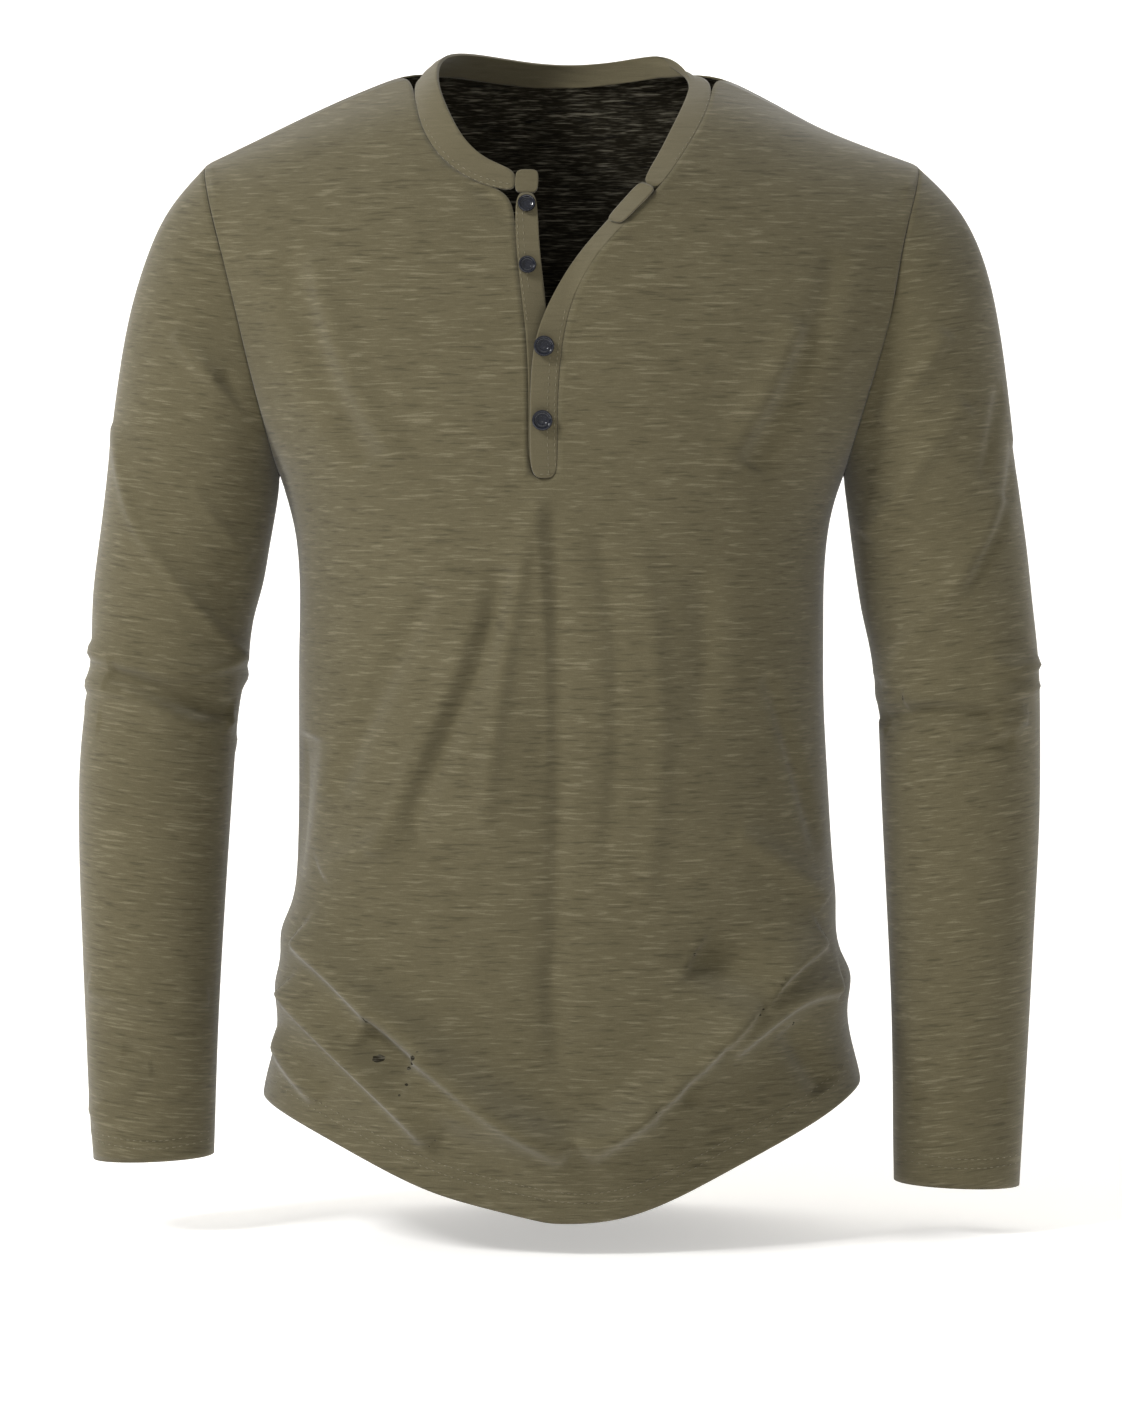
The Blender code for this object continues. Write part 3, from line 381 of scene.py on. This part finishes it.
def slubGroup():
    # jersey with thick and thin yarn: long low streaks across the cloth and a fine knit
    group, start, end = newGroup(
        "slubJersey",
        [
            ("Vector", "NodeSocketVector", (0, 0, 0)),
            ("Base", "NodeSocketColor", (0.12, 0.10, 0.06, 1)),
            ("Light", "NodeSocketColor", (0.26, 0.23, 0.15, 1)),
            ("Dark", "NodeSocketColor", (0.05, 0.04, 0.02, 1)),
            ("Streaks", "NodeSocketFloat", 0.6),
        ],
        [("Color", "NodeSocketColor"), ("Height", "NodeSocketFloat"), ("Roughness", "NodeSocketFloat")],
    )
    vector = start.outputs["Vector"]
    strength = start.outputs["Streaks"]
    light = start.outputs["Light"]
    dark = start.outputs["Dark"]
    longStreak = stretchedNoise(group, vector, 1.0, (52, 52, 620), 2.0)
    shortStreak = stretchedNoise(group, vector, 1.0, (120, 120, 1100), 3.0)
    patches = stretchedNoise(group, vector, 14.0, (1, 1, 1.4), 2.0)
    knit = stretchedNoise(group, vector, 1.0, (1500, 1500, 1500), 1.0)

    darkYarn = mathNode(group, "MULTIPLY", rampNode(group, longStreak, 0.44, 0.30), strength)
    lightYarn = mathNode(group, "MULTIPLY", rampNode(group, longStreak, 0.56, 0.72), strength)
    fineYarn = mathNode(group, "MULTIPLY", rampNode(group, shortStreak, 0.45, 0.72), strength)
    fineYarn = mathNode(group, "MULTIPLY", fineYarn, 0.35)
    knitShade = mathNode(group, "MULTIPLY", rampNode(group, knit, 0.25, 0.8), 0.22)
    patchShade = mathNode(group, "MULTIPLY", rampNode(group, patches, 0.35, 0.7), 0.12)
    colour = mixNode(group, darkYarn, start.outputs["Base"], dark)
    colour = mixNode(group, lightYarn, colour, light)
    colour = mixNode(group, fineYarn, colour, light)
    colour = mixNode(group, knitShade, colour, dark)
    colour = mixNode(group, patchShade, colour, dark)

    longRelief = mathNode(group, "MULTIPLY", longStreak, 0.5)
    knitRelief = mathNode(group, "MULTIPLY", knit, 0.35)
    shortRelief = mathNode(group, "MULTIPLY", shortStreak, 0.3)
    height = mathNode(group, "ADD", mathNode(group, "ADD", longRelief, knitRelief), shortRelief)
    rough = mathNode(group, "ADD", mathNode(group, "MULTIPLY", patches, 0.12), 0.82)
    group.links.new(colour, end.inputs["Color"])
    group.links.new(height, end.inputs["Height"])
    group.links.new(rough, end.inputs["Roughness"])
    return group


slub = slubGroup()


def clothMaterial(name, colours, streaks, bump, turn=0.0, sheen=0.25):
    # turn leans the streaks, in degrees about the front-to-back axis
    material = bpy.data.materials.new(name)
    material.use_nodes = True
    tree = material.node_tree
    shader = tree.nodes["Principled BSDF"]
    coordinates = tree.nodes.new("ShaderNodeTexCoord")
    mapping = tree.nodes.new("ShaderNodeMapping")
    mapping.inputs["Rotation"].default_value = (0, math.radians(turn), 0)
    tree.links.new(coordinates.outputs["Object"], mapping.inputs["Vector"])
    pattern = tree.nodes.new("ShaderNodeGroup")
    pattern.node_tree = slub
    tree.links.new(mapping.outputs[0], pattern.inputs["Vector"])
    for label, colour in colours.items():
        pattern.inputs[label].default_value = (*colour, 1)
    pattern.inputs["Streaks"].default_value = streaks
    relief = tree.nodes.new("ShaderNodeBump")
    relief.inputs["Strength"].default_value = bump
    relief.inputs["Distance"].default_value = 0.0006
    tree.links.new(pattern.outputs["Height"], relief.inputs["Height"])
    tree.links.new(pattern.outputs["Color"], shader.inputs["Base Color"])
    tree.links.new(pattern.outputs["Roughness"], shader.inputs["Roughness"])
    tree.links.new(relief.outputs["Normal"], shader.inputs["Normal"])
    shader.inputs["Sheen Weight"].default_value = sheen
    shader.inputs["Sheen Roughness"].default_value = 0.5
    shader.inputs["Specular IOR Level"].default_value = 0.2
    return material


olive = {"Base": (0.112, 0.096, 0.052), "Light": (0.215, 0.190, 0.120), "Dark": (0.050, 0.042, 0.020)}
# inside of the cloth: the same olive jersey with painted shade, its base and dark far below the outside's; the
# light streaks are the yarn's own
insideOliveWithPaintedShade = {"Base": (0.020, 0.016, 0.008), "Light": (0.26, 0.24, 0.18), "Dark": (0.004, 0.003, 0.001)}
bandOlive = {"Base": (0.122, 0.105, 0.060), "Light": (0.175, 0.152, 0.095), "Dark": (0.065, 0.055, 0.029)}
threadOlive = {"Base": (0.215, 0.190, 0.120), "Light": (0.30, 0.27, 0.18), "Dark": (0.09, 0.08, 0.05)}
jerseyBody = clothMaterial("oliveSlubBody", olive, 0.6, 0.5)
jerseyRight = clothMaterial("oliveSlubRightSleeve", olive, 0.6, 0.5, turn=-7)
jerseyLeft = clothMaterial("oliveSlubLeftSleeve", olive, 0.6, 0.5, turn=7)
# the inner face's finish, darkened with painted shade
jerseyInsidePaintedShade = clothMaterial("oliveSlubInsidePaintedShade", insideOliveWithPaintedShade, 1.0, 0.6, sheen=0.0)
bandCloth = clothMaterial("fineOliveBand", bandOlive, 0.25, 0.4)
threadCloth = clothMaterial("oliveThread", threadOlive, 0.3, 0.3)


def resinMaterial():
    material = bpy.data.materials.new("darkButtonResin")
    material.use_nodes = True
    tree = material.node_tree
    shader = tree.nodes["Principled BSDF"]
    coordinates = tree.nodes.new("ShaderNodeTexCoord")
    cloud = tree.nodes.new("ShaderNodeTexNoise")
    cloud.inputs["Scale"].default_value = 420
    tree.links.new(coordinates.outputs["Object"], cloud.inputs["Vector"])
    colour = mixNode(tree, cloud.outputs["Fac"], (0.004, 0.005, 0.009, 1), (0.016, 0.018, 0.028, 1))
    rough = mathNode(tree, "ADD", mathNode(tree, "MULTIPLY", cloud.outputs["Fac"], 0.1), 0.14)
    tree.links.new(colour, shader.inputs["Base Color"])
    tree.links.new(rough, shader.inputs["Roughness"])
    shader.inputs["Coat Weight"].default_value = 0.6
    shader.inputs["Coat Roughness"].default_value = 0.08
    return material


buttonResin = resinMaterial()
print("materials made")


def addSides(piece, outside, inside):
    # the inner face of the cloth takes its own material: the same olive jersey darkened with painted shade
    indices = np.empty(len(piece.data.polygons), np.int32)
    piece.data.polygons.foreach_get("material_index", indices)
    piece.data.materials.clear()
    piece.data.materials.append(outside)
    piece.data.materials.append(inside)
    piece.data.polygons.foreach_set("material_index", indices)


clothPieces = [
    {"node": "front", "name": "frontPanel", "levels": 3, "material": jerseyBody, "flat": (0.53, 0.74),
     "creases": chestCreases + hipSwags, "allRound": False, "guard": bodyGuard,
     "centre": bodyCentre, "flatness": bodyFlatness},
    {"node": "back", "name": "backPanel", "levels": 2, "material": jerseyBody, "flat": (0.52, 0.75),
     "creases": backCreases, "allRound": False, "guard": bodyGuard,
     "centre": bodyCentre, "flatness": backFlatness},
    {"node": "sleeve_right", "name": "rightSleeve", "levels": 3, "material": jerseyRight, "flat": (0.38, 0.64),
     "creases": rightSleeveCreases, "allRound": True, "guard": sleeveGuard,
     "centre": sleeveCentre, "flatness": 1.0},
    {"node": "sleeve_left", "name": "leftSleeve", "levels": 3, "material": jerseyLeft, "flat": (0.38, 0.64),
     "creases": leftSleeveCreases, "allRound": True, "guard": sleeveGuard,
     "centre": sleeveCentre, "flatness": 1.0},
]
bandPieces = [
    {"node": "neck_band", "name": "neckBand", "levels": 3},
    {"node": "button_placket", "name": "buttonPlacket", "levels": 3},
    {"node": "buttonhole_placket", "name": "buttonholePlacket", "levels": 3},
    {"node": "neck_tab_right", "name": "rightNeckTab", "levels": 3},
    {"node": "neck_tab_left", "name": "leftNeckTab", "levels": 3},
]

made = {}  # finished cloth by the node that it stands for
for item in clothPieces:
    piece = refinedCopy(item["node"], item["name"], item["levels"], item["centre"], item["flatness"])
    pressCreases(piece, item["creases"], item["allRound"], item["centre"], item["flatness"], item["guard"])
    addSides(piece, item["material"], jerseyInsidePaintedShade)
    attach(piece, "root")
    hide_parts(item["node"])
    made[item["node"]] = piece
for item in bandPieces:
    piece = refinedCopy(item["node"], item["name"], item["levels"], bodyCentre, bodyFlatness)
    piece.data.materials.clear()
    piece.data.materials.append(bandCloth)
    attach(piece, "root")
    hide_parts(item["node"])
    made[item["node"]] = piece
print("cloth pieces made")


# turned profile of a button, from the middle of its face round to the middle of its foot:
# share of the radius, and height in millimetres
buttonShape = {
    "profile": [(0.0, 1.5), (0.12, 1.5), (0.3, 1.25), (0.38, 1.3), (0.43, 1.75), (0.55, 1.8), (0.64, 1.6),
                (0.70, 1.75), (0.76, 2.75), (0.84, 3.2), (0.93, 3.15), (0.99, 2.7), (1.0, 2.1), (0.96, 0.7),
                (0.86, 0.1), (0.0, 0.0)],
    "steps": 56,
    "sharpOver": 42,
}


def makeButton(number):
    # turned on the plain solid's own axis, radius and foot
    points = readPoints(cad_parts[f"button_{number}"].data)
    middle = points.mean(axis=0)
    _, _, axes = np.linalg.svd(points - middle)
    axis = axes[2] if axes[2][1] < 0 else -axes[2]
    along = (points - middle) @ axis
    radius = np.linalg.norm(points - middle - along[:, None] * axis, axis=1).max()
    foot = middle + axis * along.min()
    bm = bmesh.new()
    chain = [bm.verts.new((share * radius, 0, height * mm)) for share, height in buttonShape["profile"]]
    for i in range(len(chain) - 1):
        bm.edges.new((chain[i], chain[i + 1]))
    bmesh.ops.spin(
        bm, geom=bm.verts[:] + bm.edges[:], cent=(0, 0, 0), axis=(0, 0, 1),
        angle=math.tau, steps=buttonShape["steps"], use_merge=True,
    )
    bmesh.ops.remove_doubles(bm, verts=bm.verts, dist=1e-6)
    bmesh.ops.recalc_face_normals(bm, faces=bm.faces)
    turn = Vector(axis).to_track_quat("Z", "Y").to_matrix().to_4x4()
    bmesh.ops.transform(bm, matrix=Matrix.Translation(Vector(foot)) @ turn, verts=bm.verts)
    mesh = bpy.data.meshes.new(f"turnedButton{number}")
    bm.to_mesh(mesh)
    bm.free()
    mesh.shade_smooth()
    mesh.set_sharp_from_angle(angle=math.radians(buttonShape["sharpOver"]))
    mesh.materials.append(buttonResin)
    button = bpy.data.objects.new(f"turnedButton{number}", mesh)
    bpy.context.scene.collection.objects.link(button)
    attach(button, "root")
    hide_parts(f"button_{number}")


for number in range(1, 5):
    makeButton(number)
print("buttons made")


stitch = {
    "length": 2.6,
    "gap": 1.5,
    "width": 0.55,
    "depth": 0.6,
    "rise": 0.12,  # of its middle above the cloth
    "reach": 1.0,  # from its middle to the places where it is laid on the cloth
    "longest": 8,  # past this the two places are on different folds, so it is left out
    "rayStart": 0.5,  # metres in front of the shirt or behind it
}
hemPath = [(-186, -632), (-157, -645), (-130, -657), (-79, -680), (-38, -690), (3, -698), (23, -698),
           (44, -694), (74, -682), (105, -666), (137, -651), (163, -639), (186, -625)]
# rows of stitches: a path in the front view, in millimetres, and the pieces that it lies on
stitchRows = [
    {"on": ["front", "back"], "path": hemPath, "shift": 0},
    {"on": ["front", "back"], "path": hemPath, "shift": -6},
    {"on": ["sleeve_right"], "path": [(-300, -672), (-260, -677), (-222, -672)], "shift": 0},
    {"on": ["sleeve_right"], "path": [(-300, -677), (-260, -682), (-222, -677)], "shift": 0},
    {"on": ["sleeve_left"], "path": [(213, -683), (253, -688), (293, -687)], "shift": 0},
    {"on": ["sleeve_left"], "path": [(213, -689), (253, -694), (293, -692)], "shift": 0},
    {"on": ["button_placket"], "shift": 0,
     "path": [(-27.6, -84), (-26.0, -119), (-23.6, -140), (-20.8, -160)]},
    {"on": ["button_placket"], "path": [(-24.0, -84), (-22.4, -119), (-20.0, -140)], "shift": 0},
    {"on": ["buttonhole_placket"], "shift": 0,
     "path": [(-3.2, -255), (-4.4, -222), (-3.2, -196), (-1.6, -174), (3, -152)]},
    {"on": ["buttonhole_placket"], "shift": 0,
     "path": [(-7.6, -255), (-8.8, -222), (-7.6, -196), (-6.0, -174)]},
    {"on": ["buttonhole_placket"], "path": [(-18, -254.6), (-3, -254.6)], "shift": 0},
    {"on": ["neck_band"], "shift": 0,
     "path": [(-31, -79), (-42, -77), (-58, -71.5), (-75, -58), (-84.5, -45), (-89, -32), (-91.6, -16)]},
    {"on": ["neck_band"], "shift": 0,
     "path": [(-31, -76), (-42, -74), (-57, -68.5), (-73, -56), (-82, -43), (-86, -31)]},
    {"on": ["neck_band"], "path": [(70, -62), (74, -56), (84, -41), (91, -25), (95, -12)], "shift": 0},
]


def surfaceTree(nodeName):
    mesh = made[nodeName].data
    return BVHTree.FromPolygons([v.co for v in mesh.vertices], [p.vertices for p in mesh.polygons])


def dropOnto(tree, spot, behind):
    # where a level ray from the front, or from behind, first meets the cloth
    side = 1 if behind else -1
    origin = Vector((spot[0] * mm, side * stitch["rayStart"], spot[1] * mm))
    return tree.ray_cast(origin, Vector((0, -side, 0)))


def addStitch(bm, first, second):
    # one rounded stitch between two places on the cloth; it says whether it fits
    way = second[0] - first[0]
    if way.length > stitch["longest"] * mm or way.length < 1e-5:
        return False
    up = (first[1] + second[1]).normalized()
    way.normalize()
    side = up.cross(way).normalized()
    up = way.cross(side)
    middle = (first[0] + second[0]) / 2 + up * stitch["rise"] * mm
    turn = Matrix((way, side, up)).transposed().to_4x4()
    half = [stitch[size] * mm / 2 for size in ("length", "width", "depth")]
    shape = Matrix.Translation(middle) @ turn @ Matrix.Diagonal((*half, 1))
    bmesh.ops.create_icosphere(bm, subdivisions=1, radius=1.0, matrix=shape)
    return True


def layStitches():
    bm = bmesh.new()
    trees = {}
    total = 0
    step = stitch["length"] + stitch["gap"]
    for row in stitchRows:
        line = smoothPath(row["path"], 60)
        run = np.concatenate([[0], np.cumsum(np.hypot(*np.diff(line, axis=0).T))])
        for at in np.arange(step / 2, run[-1], step):
            spots = [
                (np.interp(end, run, line[:, 0]), np.interp(end, run, line[:, 1]) + row["shift"])
                for end in (at - stitch["reach"], at + stitch["reach"])
            ]
            for nodeName in row["on"]:
                if nodeName not in trees:
                    trees[nodeName] = surfaceTree(nodeName)
                hits = [dropOnto(trees[nodeName], spot, nodeName == "back") for spot in spots]
                if hits[0][0] is not None and hits[1][0] is not None:
                    total += addStitch(bm, *hits)
    mesh = bpy.data.meshes.new("seamStitches")
    bm.to_mesh(mesh)
    bm.free()
    mesh.shade_smooth()
    mesh.materials.append(threadCloth)
    rows = bpy.data.objects.new("seamStitches", mesh)
    bpy.context.scene.collection.objects.link(rows)
    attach(rows, "root")
    print("stitches laid:", total)


layStitches()


sweep = {
    "floorHeight": -0.738,
    "floorFront": -6.0,
    "halfWidth": 5.0,
    "wallAt": 1.3,
    "wallRise": 5.0,
    "bendRadius": 0.7,
    "bendSteps": 16,
    "paper": (0.93, 0.92, 0.90, 1),
    "glow": (1.0, 0.985, 0.96, 1),
    "glowStrength": 0.42,
}
lighting = {
    "lamps": [
        {"name": "key", "at": (-2.3, -1.7, 1.9), "size": 0.9, "power": 98},
        {"name": "fill", "at": (2.4, -2.6, 0.3), "size": 2.0, "power": 5},
    ],
    "towards": (0, 0, -0.35),
    "sky": (1.0, 0.99, 0.97, 1),
    "skyStrength": 0.34,
}
view = {"aim": (0.0, 0.0, -0.40), "distance": 3.0, "tilt": 3.0, "lens": 120.4}


def makeSweep():
    # a pale floor that bends up into a wall
    low = sweep["floorHeight"]
    bend = sweep["bendRadius"]
    wall = sweep["wallAt"]
    outline = [(sweep["floorFront"], low), (wall - bend, low)]
    for i in range(1, sweep["bendSteps"] + 1):
        angle = math.pi / 2 * i / sweep["bendSteps"]
        outline.append((wall - bend + bend * math.sin(angle), low + bend * (1 - math.cos(angle))))
    outline.append((wall, low + sweep["wallRise"]))
    bm = bmesh.new()
    chain = [bm.verts.new((-sweep["halfWidth"], y, z)) for y, z in outline]
    edges = [bm.edges.new((chain[i], chain[i + 1])) for i in range(len(chain) - 1)]
    swept = bmesh.ops.extrude_edge_only(bm, edges=edges)
    moved = [item for item in swept["geom"] if isinstance(item, bmesh.types.BMVert)]
    bmesh.ops.translate(bm, verts=moved, vec=(2 * sweep["halfWidth"], 0, 0))
    bmesh.ops.recalc_face_normals(bm, faces=bm.faces)
    mesh = bpy.data.meshes.new("paleSweep")
    bm.to_mesh(mesh)
    bm.free()
    mesh.shade_smooth()
    paper = bpy.data.materials.new("palePaper")
    paper.use_nodes = True
    shader = paper.node_tree.nodes["Principled BSDF"]
    shader.inputs["Base Color"].default_value = sweep["paper"]
    shader.inputs["Roughness"].default_value = 0.9
    shader.inputs["Emission Color"].default_value = sweep["glow"]
    shader.inputs["Emission Strength"].default_value = sweep["glowStrength"]
    mesh.materials.append(paper)
    floor = bpy.data.objects.new("paleSweep", mesh)
    bpy.context.scene.collection.objects.link(floor)


def makeLights():
    for item in lighting["lamps"]:
        lamp = bpy.data.lights.new(item["name"], "AREA")
        lamp.energy = item["power"]
        lamp.size = item["size"]
        light = bpy.data.objects.new(item["name"], lamp)
        light.location = item["at"]
        way = Vector(lighting["towards"]) - Vector(item["at"])
        light.rotation_euler = way.to_track_quat("-Z", "Y").to_euler()
        bpy.context.scene.collection.objects.link(light)
    world = bpy.data.worlds.new("softWorld")
    world.use_nodes = True
    background = world.node_tree.nodes["Background"]
    background.inputs["Color"].default_value = lighting["sky"]
    background.inputs["Strength"].default_value = lighting["skyStrength"]
    bpy.context.scene.world = world


def makeCamera():
    tilt = math.radians(view["tilt"])
    aim = Vector(view["aim"])
    lens = bpy.data.cameras.new("camera")
    lens.lens = view["lens"]
    lens.sensor_width = 36
    camera = bpy.data.objects.new("camera", lens)
    camera.location = aim + Vector((0, -math.cos(tilt), math.sin(tilt))) * view["distance"]
    camera.rotation_euler = (aim - camera.location).to_track_quat("-Z", "Y").to_euler()
    bpy.context.scene.collection.objects.link(camera)
    bpy.context.scene.camera = camera
    bpy.context.scene.view_settings.view_transform = "Standard"


makeSweep()
makeLights()
makeCamera()
print("studio made")
